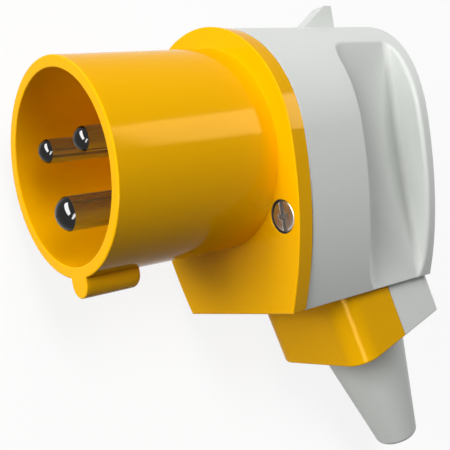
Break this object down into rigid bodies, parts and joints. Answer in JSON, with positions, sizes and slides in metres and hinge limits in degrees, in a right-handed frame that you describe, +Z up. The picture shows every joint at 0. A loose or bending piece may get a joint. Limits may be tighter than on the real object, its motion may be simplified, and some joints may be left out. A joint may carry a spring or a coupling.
{
  "type": "angled plug",
  "caption": "Angled industrial plug with a round shroud, thick and thin pins, a flange, a grey housing with grip recesses and a tapered cable boot at right angles.",
  "frame": {"origin": "centre of the footprint of the plug as it lies on its left side, on the table", "axes": "-Y is the way the pins point, +X runs down the plug towards the cable boot, +Z is up from the table through the plug's right side"},
  "size_m": [0.1108, 0.0904, 0.0543],
  "materials": {
    "yellow_shell": "smooth glossy polyamide, yellow",
    "grey_housing": "smooth satin polyamide, light grey",
    "seal_rubber": "soft pale sealing rubber",
    "carrier_plastic": "smooth moulded carrier, yellow",
    "boot_rubber": "satin soft grey rubber",
    "clamp_plastic": "plain moulded, dark grey",
    "pin_metal": "bright nickel plate over turned brass",
    "housing_screw_steel": "turned pan head, slotted, slightly brown passivated steel",
    "screw_steel": "zinc plated steel",
    "insert_brass": "turned brass"
  },
  "bodies": {
    "root": {"front_shell": "yellow_shell", "rear_housing": "grey_housing", "housing_seal": "seal_rubber", "pin_carrier": "carrier_plastic", "cable_boot": "boot_rubber", "cord_clamp": "clamp_plastic", "line_pin": "pin_metal", "neutral_pin": "pin_metal", "earth_pin": "pin_metal", "line_terminal_screw": "screw_steel", "neutral_terminal_screw": "screw_steel", "earth_terminal_screw": "screw_steel", "housing_screw_left": "housing_screw_steel", "housing_washer_left": "clamp_plastic", "housing_insert_left": "insert_brass", "carrier_screw_left": "screw_steel", "cord_clamp_screw_left": "screw_steel", "cord_clamp_nut_left": "screw_steel", "housing_screw_right": "housing_screw_steel", "housing_washer_right": "clamp_plastic", "housing_insert_right": "insert_brass", "carrier_screw_right": "screw_steel", "cord_clamp_screw_right": "screw_steel", "cord_clamp_nut_right": "screw_steel"}
  },
  "joints": []
}
